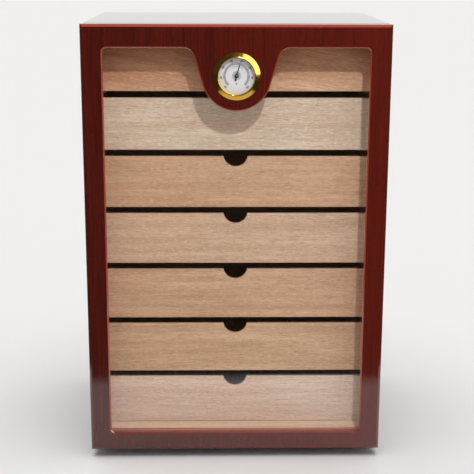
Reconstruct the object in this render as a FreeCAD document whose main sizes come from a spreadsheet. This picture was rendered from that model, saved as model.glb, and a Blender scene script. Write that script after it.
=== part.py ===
import FreeCAD, Part
import math
import os
import Sketcher

# Cigar humidor cabinet: a veneered case with a cedar lining, a glazed door that swings on
# two brass hinges, seven cedar drawers on runners, and a hygrometer set in the door.
# Millimetres, +Z up, the door faces -Y, and the origin is on the floor under the middle.

doc = FreeCAD.newDocument("Humidor")
sheet = doc.addObject("Spreadsheet::Sheet", "Sizes")


class Size:
    """A measure that carries its number and the formula that gives it from the sheet."""

    def __init__(self, number, formula):
        self.number = float(number)
        self.formula = formula

    def joined(self, sign, other, number):
        return Size(number, f"({self.formula} {sign} {other.formula})")

    def __add__(self, other):
        other = as_size(other)
        return self.joined("+", other, self.number + other.number)

    def __radd__(self, other):
        return as_size(other) + self

    def __sub__(self, other):
        other = as_size(other)
        return self.joined("-", other, self.number - other.number)

    def __rsub__(self, other):
        return as_size(other) - self

    def __mul__(self, other):
        other = as_size(other)
        return self.joined("*", other, self.number * other.number)

    def __rmul__(self, other):
        return as_size(other) * self

    def __truediv__(self, other):
        other = as_size(other)
        return self.joined("/", other, self.number / other.number)

    def __neg__(self):
        return Size(-self.number, f"(-1 * {self.formula})")

    def __float__(self):
        return self.number


def as_size(value):
    return value if isinstance(value, Size) else Size(value, str(value))


def size(alias, number, meaning):
    """Writes one driving dimension on the next row of the sheet."""
    row = size.next_row
    size.next_row += 1
    sheet.set(f"A{row}", meaning)
    sheet.set(f"B{row}", str(number))
    sheet.setAlias(f"B{row}", alias)
    return Size(number, f"Sizes.{alias}")


size.next_row = 1

# Case
case_width = size("case_width", 356, "case and door, side to side")
case_height = size("case_height", 520, "case and door, without the feet")
case_depth = size("case_depth", 260, "case, front edge to back")
side_wall = size("side_wall", 12, "side and top panels")
base_wall = size("base_wall", 16, "base panel")
back_wall = size("back_wall", 6, "back panel")
lining = size("lining", 4, "cedar lining on every wall")
seam_chamfer = size("seam_chamfer", 1.5, "eased outer edges of the case and the door's back")
foot_height = size("foot_height", 10, "feet")
foot_diameter = size("foot_diameter", 26, "feet")
foot_inset = size("foot_inset", 32, "foot centre in from the case's edges")
foot_chamfer = size("foot_chamfer", 1.5, "lower edge of a foot")

# Door
door_gap = size("door_gap", 2, "shut door to the case's front edge")
door_thickness = size("door_thickness", 18, "door frame")
stile_width = size("stile_width", 25, "upright sides of the door frame")
bottom_rail = size("bottom_rail", 23.5, "bottom of the door frame")
top_rail = size("top_rail", 26.8, "top of the door frame")
opening_corner = size("opening_corner", 5, "corner radius of the door's opening")
door_bevel = size("door_bevel", 3, "bevel round the door's front")
opening_bevel = size("opening_bevel", 1.5, "bevel round the door's opening")
tongue_radius = size("tongue_radius", 40.3, "round end of the tongue that carries the gauge")
tongue_slant = size("tongue_slant", 16.6, "degrees that the tongue's sides lean")
tongue_fillet = size("tongue_fillet", 13.5, "radius where the tongue meets the top rail")
gauge_drop = size("gauge_drop", 58.5, "top of the door to the gauge's centre")
glass_setback = size("glass_setback", 6.5, "door's front face to the glass")
glass_thickness = size("glass_thickness", 3, "door glass")
rebate_width = size("rebate_width", 7, "ledge that the glass rests on")
glass_clearance = size("glass_clearance", 0.5, "glass edge to the rebate")
bead_width = size("bead_width", 4, "glazing bead, from the rebate's wall inward")
bead_clearance = size("bead_clearance", 0.2, "bead face in from the door's back")

# Hinges and catches
hinge_length = size("hinge_length", 50, "hinge, along its barrel")
hinge_inset = size("hinge_inset", 60, "hinge end in from the door's top and bottom")
leaf_width = size("leaf_width", 10, "hinge leaf, across")
leaf_clearance = size("leaf_clearance", 0.2, "between the two shut leaves")
barrel_radius = size("barrel_radius", 1.5, "hinge barrel")
barrel_offset = size("barrel_offset", 0.3, "barrel's axis outside the case's side")
barrel_gap = size("barrel_gap", 0.2, "knuckle to the other leaf")
pin_radius = size("pin_radius", 0.75, "hinge pin")
pin_clearance = size("pin_clearance", 0.04, "hinge pin to its bore")
knuckle_gap = size("knuckle_gap", 0.1, "between neighbouring knuckles")
screw_radius = size("screw_radius", 0.9, "hinge screw's shank")
screw_head_radius = size("screw_head_radius", 1.8, "hinge screw's countersunk head")
screw_length = size("screw_length", 9, "hinge screw, head and shank")
screw_clearance = size("screw_clearance", 0.05, "screw to its hole")
magnet_diameter = size("magnet_diameter", 7, "catch magnet")
magnet_depth = size("magnet_depth", 6, "catch magnet, length")
magnet_clearance = size("magnet_clearance", 0.05, "magnet to its bore")
magnet_height = size("magnet_height", 110, "magnet in from the door's top and bottom")
strike_diameter = size("strike_diameter", 9, "steel plate that a magnet holds")
strike_thickness = size("strike_thickness", 1, "steel plate that a magnet holds")
door_clearance = size("door_clearance", 0.3, "shut door to the seal and the magnets")

# Drawers
drawer_rear_gap = size("drawer_rear_gap", 6, "drawer's back to the back lining")
drawer_setback = size("drawer_setback", 21.5, "drawer fronts behind the case's front edge")
drawer_gap = size("drawer_gap", 7.7, "between two drawer fronts")
drawer_side_clearance = size("drawer_side_clearance", 1, "drawer to the lining at each side")
drawer_top_clearance = size("drawer_top_clearance", 2, "top drawer to the lining above it")
slide_clearance = size("slide_clearance", 0.3, "drawer to the runners or floor under it")
drawer_front_thickness = size("drawer_front_thickness", 5, "drawer front")
drawer_wall = size("drawer_wall", 5, "drawer sides and back")
drawer_bottom = size("drawer_bottom", 4, "drawer bottom")
drawer_wall_height = size("drawer_wall_height", 50, "drawer sides and back")
drawer_ease = size("drawer_ease", 0.8, "eased edges of a drawer front")
notch_radius = size("notch_radius", 14.5, "finger notch")
notch_depth = size("notch_depth", 12.4, "finger notch")
slot_width = size("slot_width", 6, "air slot in a drawer bottom")
slot_pitch = size("slot_pitch", 40, "between two air slots")
slot_margin = size("slot_margin", 30, "end of a slot in from the bottom's edge")
runner_height = size("runner_height", 5, "runner strip")
runner_width = size("runner_width", 6.5, "runner strip")
runner_setback = size("runner_setback", 20, "runner behind the back of a drawer front")
runner_rear_gap = size("runner_rear_gap", 10, "runner to the back lining")

# Gauge
bezel_radius = size("bezel_radius", 27.5, "gauge bezel")
bezel_rim = size("bezel_rim", 1.2, "upright edge of the bezel")
bezel_height = size("bezel_height", 4.4, "bezel in front of the door")
bezel_crown = size("bezel_crown", 5.5, "sloping outer face of the bezel, across")
bezel_opening = size("bezel_opening", 20.5, "radius of the dial that shows")
bezel_lip = size("bezel_lip", 1.2, "inner edge of the bezel in front of the lens")
lens_seat = size("lens_seat", 0.8, "lens's front face before the door's face")
lens_thickness = size("lens_thickness", 1, "lens")
gauge_radius = size("gauge_radius", 25, "gauge case")
gauge_depth = size("gauge_depth", 15.5, "gauge case behind the door's face")
gauge_wall = size("gauge_wall", 0.8, "gauge case")
gauge_clearance = size("gauge_clearance", 0.3, "gauge case to the bore in the tongue")
gauge_glass_gap = size("gauge_glass_gap", 1, "gauge case to the hole in the door glass")
gauge_fit = size("gauge_fit", 0.05, "between nested parts of the gauge")
neck_wall = size("neck_wall", 0.8, "sleeve that joins the bezel to the case")
neck_depth = size("neck_depth", 4, "sleeve behind the door's face")
dial_thickness = size("dial_thickness", 0.6, "dial plate")
vent_radius = size("vent_radius", 2, "holes in the gauge's back")
vent_circle = size("vent_circle", 14, "radius that the vent holes lie on")
movement_radius = size("movement_radius", 9, "housing of the humidity spring")
movement_depth = size("movement_depth", 5, "housing of the humidity spring")
arbor_radius = size("arbor_radius", 0.6, "needle's shaft")
arbor_clearance = size("arbor_clearance", 0.05, "needle's shaft to its bearing")
hub_radius = size("hub_radius", 2.1, "needle's hub")
hub_height = size("hub_height", 0.9, "needle's hub")
needle_lift = size("needle_lift", 0.6, "needle in front of the dial")
needle_reach = size("needle_reach", 15.7, "needle tip from the hub's centre")
needle_tail = size("needle_tail", 5, "needle's tail from the hub's centre")
needle_root = size("needle_root", 1.6, "needle's width at its tail")
needle_tip = size("needle_tip", 0.4, "needle's width at its tip")
needle_thickness = size("needle_thickness", 0.3, "needle")
needle_angle = size("needle_angle", 15.6, "degrees that the needle leans right of upright")

# Humidifier
tray_length = size("tray_length", 110, "humidifier, side to side")
tray_depth = size("tray_depth", 60, "humidifier, front to back")
tray_height = size("tray_height", 18, "humidifier case")
tray_wall = size("tray_wall", 2, "humidifier case")
tray_cover = size("tray_cover", 2, "humidifier cover")
tray_inset = size("tray_inset", 8, "humidifier to the drawer's back")
foam_clearance = size("foam_clearance", 0.4, "foam block to the walls round it")
grille_slot = size("grille_slot", 4, "slot in the humidifier's cover")
grille_pitch = size("grille_pitch", 9, "between two slots in the cover")
grille_margin = size("grille_margin", 8, "end of a slot in from the cover's edge")

DRAWERS = 7
KNUCKLES = 5
HINGE_SCREWS = 3
AIR_SLOTS = 7
GAUGE_VENTS = 6
GRILLE_SLOTS = 11

# Places that several pieces share
half_width = case_width / 2
door_front = -(door_thickness + door_gap + case_depth) / 2
door_back = door_front + door_thickness
case_front = door_back + door_gap
case_back = case_front + case_depth
case_bottom = foot_height
case_top = case_bottom + case_height
room_half = half_width - side_wall - lining
room_floor = case_bottom + base_wall + lining
room_ceiling = case_top - side_wall - lining
room_back = case_back - back_wall - lining
opening_half = half_width - stile_width
opening_bottom = case_bottom + bottom_rail
opening_top = case_top - top_rail
gauge_centre = case_top - gauge_drop
glass_front = door_front + glass_setback
glass_back = glass_front + glass_thickness
hinge_axis_x = -half_width - barrel_offset
hinge_axis_y = door_back + door_gap / 2
leaf_thickness = (door_gap - leaf_clearance) / 2
leaf_outer = hinge_axis_x + barrel_radius + barrel_gap
leaf_inner = leaf_outer + leaf_width
knuckle_length = hinge_length / KNUCKLES
screw_x = (leaf_outer + leaf_inner) / 2
screw_spacing = hinge_length / HINGE_SCREWS
magnet_x = half_width - side_wall / 2
drawer_half = room_half - drawer_side_clearance
drawer_front = case_front + drawer_setback
drawer_front_back = drawer_front + drawer_front_thickness
drawer_back = room_back - drawer_rear_gap
top_of_drawers = room_ceiling - drawer_top_clearance
bottom_of_drawers = room_floor + slide_clearance

# The lowest drawer runs on the floor lining and the others on runners, so it gives up the
# part of its height that would reach below the floor, and the pitch is the same throughout.
floor_drop = size("floor_drop", 2.1, "height that the lowest drawer front gives up")
front_height = (top_of_drawers - bottom_of_drawers - (DRAWERS - 1) * drawer_gap + floor_drop) / DRAWERS
drawer_pitch = front_height + drawer_gap

parts = []


def keep(thing, label):
    """Names a finished sub-part and puts it on the list of what is written out."""
    thing.Label = label
    parts.append(thing)
    return thing


def bind(thing, name, value):
    thing.setExpression(name, as_size(value).formula)


def place(thing, x, y, z):
    for axis, value in zip("xyz", (x, y, z)):
        bind(thing, f"Placement.Base.{axis}", value)
    return thing


# Turns that point a shape's own Z axis along the object's axes
FACING = {
    "up": FreeCAD.Rotation(),
    "back": FreeCAD.Rotation(FreeCAD.Vector(1, 0, 0), -90),
    "front": FreeCAD.Rotation(FreeCAD.Vector(1, 0, 0), 90),
}


def box(name, low, high):
    """A block between two opposite corners."""
    block = doc.addObject("Part::Box", name)
    for edge, start, end in zip(("Length", "Width", "Height"), low, high):
        bind(block, edge, as_size(end) - start)
    return place(block, *low)


def rod(name, start, length, radius, facing="up"):
    """A cylinder that begins at a point and runs along a facing."""
    cylinder = doc.addObject("Part::Cylinder", name)
    bind(cylinder, "Radius", radius)
    bind(cylinder, "Height", length)
    cylinder.Placement.Rotation = FACING[facing]
    return place(cylinder, *start)


def cone(name, start, length, first_radius, last_radius, facing="up"):
    frustum = doc.addObject("Part::Cone", name)
    bind(frustum, "Radius1", first_radius)
    bind(frustum, "Radius2", last_radius)
    bind(frustum, "Height", length)
    frustum.Placement.Rotation = FACING[facing]
    return place(frustum, *start)


def group(name, pieces):
    """Separate solids that are kept together."""
    compound = doc.addObject("Part::Compound", name)
    compound.Links = pieces
    return compound


def fuse(name, pieces):
    union = doc.addObject("Part::MultiFuse", name)
    union.Shapes = pieces
    return union


def cut(name, base, tools):
    """The base with every tool taken out of it."""
    difference = doc.addObject("Part::Cut", name)
    difference.Base = base
    difference.Tool = tools[0] if len(tools) == 1 else group(name + "_tools", tools)
    return difference


def new_body(name):
    return doc.addObject("PartDesign::Body", name)


def new_sketch(body, name, plane):
    """A sketch on one of the body's own origin planes."""
    sketch = body.newObject("Sketcher::SketchObject", name)
    planes = {feature.Role: feature for feature in body.Origin.OriginFeatures}
    sketch.AttachmentSupport = [(planes[plane], "")]
    sketch.MapMode = "FlatFace"
    return sketch


def constrain(sketch, *constraint):
    return sketch.addConstraint(Sketcher.Constraint(*constraint))


def measure(sketch, kind, *where_and_value):
    """A dimension whose last value is a size, bound to the sheet."""
    *where, value = where_and_value
    number = float(as_size(value))
    if kind == "Angle":
        number = math.radians(number)
    index = constrain(sketch, kind, *where, number)
    bind(sketch, f"Constraints[{index}]", value)


def line(sketch, start, end):
    points = [FreeCAD.Vector(float(u), float(v), 0) for u, v in (start, end)]
    return sketch.addGeometry(Part.LineSegment(*points), False)


def arc(sketch, centre, radius, first, last):
    """An arc that runs anticlockwise between two angles in degrees."""
    middle = FreeCAD.Vector(float(centre[0]), float(centre[1]), 0)
    circle = Part.Circle(middle, FreeCAD.Vector(0, 0, 1), float(radius))
    ends = (math.radians(first), math.radians(last))
    return sketch.addGeometry(Part.ArcOfCircle(circle, *ends), False)


def rectangle(sketch, half, bottom, top):
    """A rectangle that is centred on the sketch's upright axis."""
    corners = [(-half, bottom), (half, bottom), (half, top), (-half, top)]
    sides = [line(sketch, corners[i], corners[(i + 1) % 4]) for i in range(4)]
    for i in range(4):
        constrain(sketch, "Coincident", sides[i], 2, sides[(i + 1) % 4], 1)
    for upright in (sides[1], sides[3]):
        constrain(sketch, "Vertical", upright)
    constrain(sketch, "Horizontal", sides[2])
    constrain(sketch, "Symmetric", sides[0], 1, sides[0], 2, -2)
    measure(sketch, "DistanceX", sides[0], 1, sides[0], 2, 2 * half)
    measure(sketch, "DistanceY", sides[1], 1, sides[1], 2, top - bottom)
    if float(as_size(bottom)) == 0:
        constrain(sketch, "PointOnObject", sides[0], 1, -1)
    else:
        measure(sketch, "DistanceY", -1, 1, sides[0], 1, bottom)


def pad(body, sketch, length):
    feature = body.newObject("PartDesign::Pad", sketch.Name + "_pad")
    feature.Profile = sketch
    bind(feature, "Length", length)
    doc.recompute()
    return feature


def pocket(body, sketch, length):
    """Cuts along the sketch's normal, and stops where nothing was cut."""
    before = body.Shape.Volume
    feature = body.newObject("PartDesign::Pocket", sketch.Name + "_pocket")
    feature.Profile = sketch
    feature.Reversed = True
    bind(feature, "Length", length)
    doc.recompute()
    if body.Shape.Volume > before - 1:
        raise RuntimeError(f"{feature.Name} cuts nothing")
    return feature


def chamfer(body, wanted, width):
    """Chamfers every edge of the body's shape that the test accepts."""
    whole = body.Shape.BoundBox
    edges = enumerate(body.Shape.Edges, start=1)
    names = [f"Edge{number}" for number, edge in edges if wanted(edge.BoundBox, whole)]
    if not names:
        raise RuntimeError(f"{body.Name} has no such edge to chamfer")
    base = body.Tip
    feature = body.newObject("PartDesign::Chamfer", body.Name + "_chamfer")
    feature.Base = (base, names)
    bind(feature, "Size", width)
    doc.recompute()
    return feature


def same(a, b):
    return abs(a - b) < 1e-4


def outer_panel(label, low, high, wanted):
    """A veneered board of the case with eased outer edges."""
    body = new_body(label)
    sketch = new_sketch(body, label + "_outline", "XY_Plane")
    half = (high[0] - low[0]) / 2
    rectangle(sketch, half, as_size(0), high[1] - low[1])
    pad(body, sketch, high[2] - low[2])
    chamfer(body, wanted, seam_chamfer)
    return place(body, (low[0] + high[0]) / 2, low[1], low[2])


def upright_corner(edge, whole):
    at_side = same(edge.XMin, whole.XMin) or same(edge.XMax, whole.XMax)
    at_end = same(edge.YMin, whole.YMin) or same(edge.YMax, whole.YMax)
    return at_side and at_end and same(edge.XLength, 0) and same(edge.YLength, 0)


def make_case():
    """The five boards of the case: top and base over the ends of the sides."""
    side_low = case_bottom + base_wall
    side_high = case_top - side_wall
    magnet_bores = [
        rod(f"magnet_bore_{i}", magnet_start(z), magnet_depth, magnet_bore_radius, "back")
        for i, z in enumerate(magnet_heights)
    ]
    left = outer_panel(
        "side_left_board",
        (-half_width, case_front, side_low),
        (-half_width + side_wall, case_back, side_high),
        lambda edge, whole: upright_corner(edge, whole) and same(edge.XMin, whole.XMin),
    )
    keep(cut("side_left", left, screw_holes("case")), "case_side_left")
    right = outer_panel(
        "side_right_board",
        (half_width - side_wall, case_front, side_low),
        (half_width, case_back, side_high),
        lambda edge, whole: upright_corner(edge, whole) and same(edge.XMax, whole.XMax),
    )
    keep(cut("side_right", right, magnet_bores), "case_side_right")
    top = outer_panel(
        "top_board",
        (-half_width, case_front, side_high),
        (half_width, case_back, case_top),
        lambda edge, whole: upright_corner(edge, whole) or same(edge.ZMin, whole.ZMax),
    )
    keep(top, "case_top")
    base = outer_panel(
        "base_board",
        (-half_width, case_front, case_bottom),
        (half_width, case_back, side_low),
        lambda edge, whole: upright_corner(edge, whole) or same(edge.ZMax, whole.ZMin),
    )
    keep(base, "case_base")
    back = box(
        "back_board",
        (-half_width + side_wall, case_back - back_wall, side_low),
        (half_width - side_wall, case_back, side_high),
    )
    keep(back, "case_back")


def make_lining():
    """Cedar boards on the inside of every wall."""
    wall = half_width - side_wall
    low = case_bottom + base_wall
    high = case_top - side_wall
    rear = case_back - back_wall
    boards = {
        "lining_left": ((-wall, case_front, low), (-room_half, rear, high)),
        "lining_right": ((room_half, case_front, low), (wall, rear, high)),
        "lining_top": ((-room_half, case_front, room_ceiling), (room_half, rear, high)),
        "lining_floor": ((-room_half, case_front, low), (room_half, rear, room_floor)),
        "lining_back": ((-room_half, room_back, room_floor), (room_half, rear, room_ceiling)),
    }
    for label, (start, end) in boards.items():
        keep(box(label, start, end), label)


def make_feet():
    """Four round feet with an eased lower edge, set in under the corners."""
    feet = []
    across = half_width - foot_inset
    for side in (-1, 1):
        for y in (case_front + foot_inset, case_back - foot_inset):
            name = f"foot_{len(feet) + 1}"
            x = side * across
            radius = foot_diameter / 2
            straight = foot_height - foot_chamfer
            upper = rod(name + "_upper", (x, y, foot_chamfer), straight, radius)
            lower = cone(name + "_lower", (x, y, as_size(0)), foot_chamfer, radius - foot_chamfer, radius)
            feet.append(fuse(name, [lower, upper]))
    keep(group("feet_group", feet), "feet")


def make_seal():
    """A soft strip round the front edge of the lining, just short of the shut door."""
    front = door_back + door_clearance
    wall = half_width - side_wall
    low = case_bottom + base_wall
    high = case_top - side_wall
    outside = box("seal_outside", (-wall, front, low), (wall, case_front, high))
    margin = as_size(1)
    inside = box(
        "seal_inside",
        (-room_half, front - margin, room_floor),
        (room_half, case_front + margin, room_ceiling),
    )
    keep(cut("seal", outside, [inside]), "door_seal")


magnet_heights = (case_bottom + magnet_height, case_top - magnet_height)
magnet_bore_radius = magnet_diameter / 2 + magnet_clearance
strike_back = door_back + strike_thickness
magnet_front = strike_back + door_clearance


def magnet_start(z):
    return (magnet_x, magnet_front, z)


def make_catches():
    """Two magnets in the case's edge and the steel plates on the door that they hold."""
    magnets = [
        rod(f"magnet_{i}", magnet_start(z), magnet_depth, magnet_diameter / 2, "back")
        for i, z in enumerate(magnet_heights)
    ]
    keep(group("magnet_group", magnets), "catch_magnets")
    strikes = [
        rod(f"strike_{i}", (magnet_x, door_back, z), strike_thickness, strike_diameter / 2, "back")
        for i, z in enumerate(magnet_heights)
    ]
    keep(group("strike_group", strikes), "strike_plates")


hinge_starts = (case_bottom + hinge_inset, case_top - hinge_inset - hinge_length)


def screw(name, side, z, spare):
    """A countersunk screw through a leaf: into the case when side is 1, the door when -1."""
    face = hinge_axis_y + side * leaf_clearance / 2
    facing = "back" if side == 1 else "front"
    head = leaf_thickness
    shank_start = face + side * head
    head_cone = cone(
        name + "_head",
        (screw_x, face, z),
        head,
        screw_head_radius + spare,
        screw_radius + spare,
        facing,
    )
    length = screw_length - head + spare
    shank = rod(name + "_shank", (screw_x, shank_start, z), length, screw_radius + spare, facing)
    return fuse(name, [head_cone, shank])


def screw_heights():
    return [start + screw_spacing * (i + 0.5) for start in hinge_starts for i in range(HINGE_SCREWS)]


def screw_holes(what):
    side = 1 if what == "case" else -1
    return [
        screw(f"{what}_screw_hole_{i}", side, z, screw_clearance)
        for i, z in enumerate(screw_heights())
    ]


def make_leaf(name, side, start, owned):
    """One hinge leaf: its plate, and the knuckles that it owns round the pin."""
    inner_face = hinge_axis_y + side * leaf_clearance / 2
    outer_face = inner_face + side * leaf_thickness
    low_y, high_y = (inner_face, outer_face) if side == 1 else (outer_face, inner_face)
    pieces = [box(name + "_plate", (leaf_outer, low_y, start), (leaf_inner, high_y, start + hinge_length))]
    for i in range(KNUCKLES):
        if i % 2 != owned:
            continue
        low = start + knuckle_length * i + knuckle_gap / 2
        high = start + knuckle_length * (i + 1) - knuckle_gap / 2
        tab = box(f"{name}_tab_{i}", (hinge_axis_x, low_y, low), (leaf_outer, high_y, high))
        barrel = rod(f"{name}_knuckle_{i}", (hinge_axis_x, hinge_axis_y, low), high - low, barrel_radius)
        pieces += [tab, barrel]
    solid = fuse(name + "_solid", pieces)
    bore = rod(
        name + "_bore",
        (hinge_axis_x, hinge_axis_y, start),
        hinge_length,
        pin_radius + pin_clearance,
    )
    heights = [start + screw_spacing * (i + 0.5) for i in range(HINGE_SCREWS)]
    holes = [screw(f"{name}_hole_{i}", side, z, screw_clearance) for i, z in enumerate(heights)]
    return cut(name, solid, [bore] + holes)


def make_hinges():
    """Two butt hinges at the left, whose barrels stand just outside the seam."""
    pairs = list(enumerate(hinge_starts))
    case_leaves = [make_leaf(f"case_leaf_{i}", 1, start, 0) for i, start in pairs]
    door_leaves = [make_leaf(f"door_leaf_{i}", -1, start, 1) for i, start in pairs]
    pins = [
        rod(f"pin_{i}", (hinge_axis_x, hinge_axis_y, start), hinge_length, pin_radius)
        for i, start in pairs
    ]
    keep(group("case_leaf_group", case_leaves), "hinge_case_leaves")
    keep(group("door_leaf_group", door_leaves), "hinge_door_leaves")
    keep(group("pin_group", pins), "hinge_pins")
    heights = list(enumerate(screw_heights()))
    no_spare = as_size(0)
    case_screws = [screw(f"case_screw_{i}", 1, z, no_spare) for i, z in heights]
    door_screws = [screw(f"door_screw_{i}", -1, z, no_spare) for i, z in heights]
    keep(group("case_screw_group", case_screws), "hinge_case_screws")
    keep(group("door_screw_group", door_screws), "hinge_door_screws")


def window_outline(sketch):
    """The door's opening, with the tongue that hangs into it from the top rail."""
    half = float(opening_half)
    low = float(opening_bottom)
    high = float(opening_top)
    corner = float(opening_corner)
    lean = float(tongue_slant)
    fillet = float(tongue_fillet)
    end = float(tongue_radius)
    centre = float(gauge_centre)
    sine = math.sin(math.radians(lean))
    cosine = math.cos(math.radians(lean))
    # Where the leaning side touches the round end, and from there up to the fillet
    touch = (end * cosine, centre - end * sine)
    rise = (high - fillet + fillet * sine) - touch[1]
    meet = (touch[0] + rise * sine / cosine, touch[1] + rise)
    fillet_x = meet[0] + fillet * cosine

    base = line(sketch, (-half + corner, low), (half - corner, low))
    low_right = arc(sketch, (half - corner, low + corner), corner, 270, 360)
    right = line(sketch, (half, low + corner), (half, high - corner))
    high_right = arc(sketch, (half - corner, high - corner), corner, 0, 90)
    top_right = line(sketch, (half - corner, high), (fillet_x, high))
    right_fillet = arc(sketch, (fillet_x, high - fillet), fillet, 90, 180 - lean)
    right_lean = line(sketch, meet, touch)
    round_end = arc(sketch, (0, centre), end, 180 + lean, 360 - lean)
    left_lean = line(sketch, (-touch[0], touch[1]), (-meet[0], meet[1]))
    left_fillet = arc(sketch, (-fillet_x, high - fillet), fillet, lean, 90)
    top_left = line(sketch, (-fillet_x, high), (-half + corner, high))
    high_left = arc(sketch, (-half + corner, high - corner), corner, 90, 180)
    left = line(sketch, (-half, high - corner), (-half, low + corner))
    low_left = arc(sketch, (-half + corner, low + corner), corner, 180, 270)

    # Every joint is smooth; the round end is the one stretch that runs the other way
    around = [base, low_right, right, high_right, top_right, right_fillet, right_lean]
    around += [round_end, left_lean, left_fillet, top_left, high_left, left, low_left]
    for piece, following in zip(around, around[1:] + around[:1]):
        leaving = 1 if piece == round_end else 2
        arriving = 2 if following == round_end else 1
        constrain(sketch, "Tangent", piece, leaving, following, arriving)
    constrain(sketch, "Horizontal", base)
    constrain(sketch, "Vertical", right)
    constrain(sketch, "Vertical", left)
    constrain(sketch, "Horizontal", top_right)
    constrain(sketch, "Symmetric", right, 1, left, 2, -2)
    constrain(sketch, "Symmetric", top_right, 2, top_left, 1, -2)
    for other in (high_right, high_left):
        constrain(sketch, "Equal", low_right, other)
    constrain(sketch, "Equal", right_fillet, left_fillet)
    constrain(sketch, "Symmetric", right_lean, 2, left_lean, 1, -2)
    measure(sketch, "Angle", left_lean, 90 + tongue_slant)
    measure(sketch, "Radius", low_right, opening_corner)
    measure(sketch, "Radius", right_fillet, tongue_fillet)
    measure(sketch, "Radius", round_end, tongue_radius)
    measure(sketch, "DistanceY", -1, 1, round_end, 3, gauge_centre)
    measure(sketch, "DistanceY", -1, 1, base, 1, opening_bottom)
    measure(sketch, "DistanceY", base, 1, top_right, 1, opening_top - opening_bottom)
    measure(sketch, "DistanceX", left, 1, right, 1, 2 * opening_half)


def make_door_frame():
    """The door frame, cut from one board: bevelled, with the opening, glass rebate and gauge bore."""
    body = new_body("door_board")
    outline = new_sketch(body, "door_outline", "XZ_Plane")
    rectangle(outline, half_width, case_bottom, case_top)
    pad(body, outline, door_thickness)
    chamfer(body, lambda edge, whole: same(edge.YMax, whole.YMin), door_bevel)
    chamfer(body, lambda edge, whole: same(edge.YMin, whole.YMax), seam_chamfer)
    window = new_sketch(body, "door_window", "XZ_Plane")
    window_outline(window)
    pocket(body, window, door_thickness)

    def round_window(edge, whole):
        inside = edge.XMin > whole.XMin + float(stile_width) / 2
        inside = inside and edge.XMax < whole.XMax - float(stile_width) / 2
        return same(edge.YMax, whole.YMin) and inside

    chamfer(body, round_window, opening_bevel)
    rebate = new_sketch(body, "glass_rebate", "XZ_Plane")
    rectangle(rebate, opening_half + rebate_width, opening_bottom - rebate_width, opening_top + rebate_width)
    pocket(body, rebate, door_thickness - glass_setback)
    place(body, as_size(0), door_back, as_size(0))
    bore_start = (as_size(0), door_front - bezel_rim, gauge_centre)
    bore = rod("gauge_bore", bore_start, door_thickness, gauge_radius + gauge_clearance, "back")
    keep(cut("door_frame_cut", body, [bore] + screw_holes("door")), "door_frame")


def make_door_glass():
    """The pane in its rebate, with a hole for the gauge, and the beads that hold it in."""
    across = opening_half + rebate_width
    low = opening_bottom - rebate_width
    high = opening_top + rebate_width
    spare = glass_clearance
    pane = box(
        "pane",
        (-across + spare, glass_front, low + spare),
        (across - spare, glass_back, high - spare),
    )
    hole_radius = gauge_radius + gauge_glass_gap
    hole_start = (as_size(0), glass_front - spare, gauge_centre)
    hole = rod("pane_hole", hole_start, glass_thickness + 2 * spare, hole_radius, "back")
    keep(cut("glass_cut", pane, [hole]), "door_glass")
    face = door_back - bead_clearance
    inner = across - bead_width
    bead_low = low + bead_width
    bead_high = high - bead_width
    beads = [
        box("bead_bottom", (-across, glass_back, low), (across, face, bead_low)),
        box("bead_top", (-across, glass_back, bead_high), (across, face, high)),
        box("bead_left", (-across, glass_back, bead_low), (-inner, face, bead_high)),
        box("bead_right", (inner, glass_back, bead_low), (across, face, bead_high)),
    ]
    keep(group("bead_group", beads), "glass_beads")


def before_door(distance):
    """A point on the gauge's axis, at a distance in front of the door's face."""
    return (as_size(0), door_front - distance, gauge_centre)


neck_outer = gauge_radius - gauge_wall - gauge_fit
neck_inner = neck_outer - neck_wall
dial_front = -neck_depth
dial_back = dial_front - dial_thickness


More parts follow.
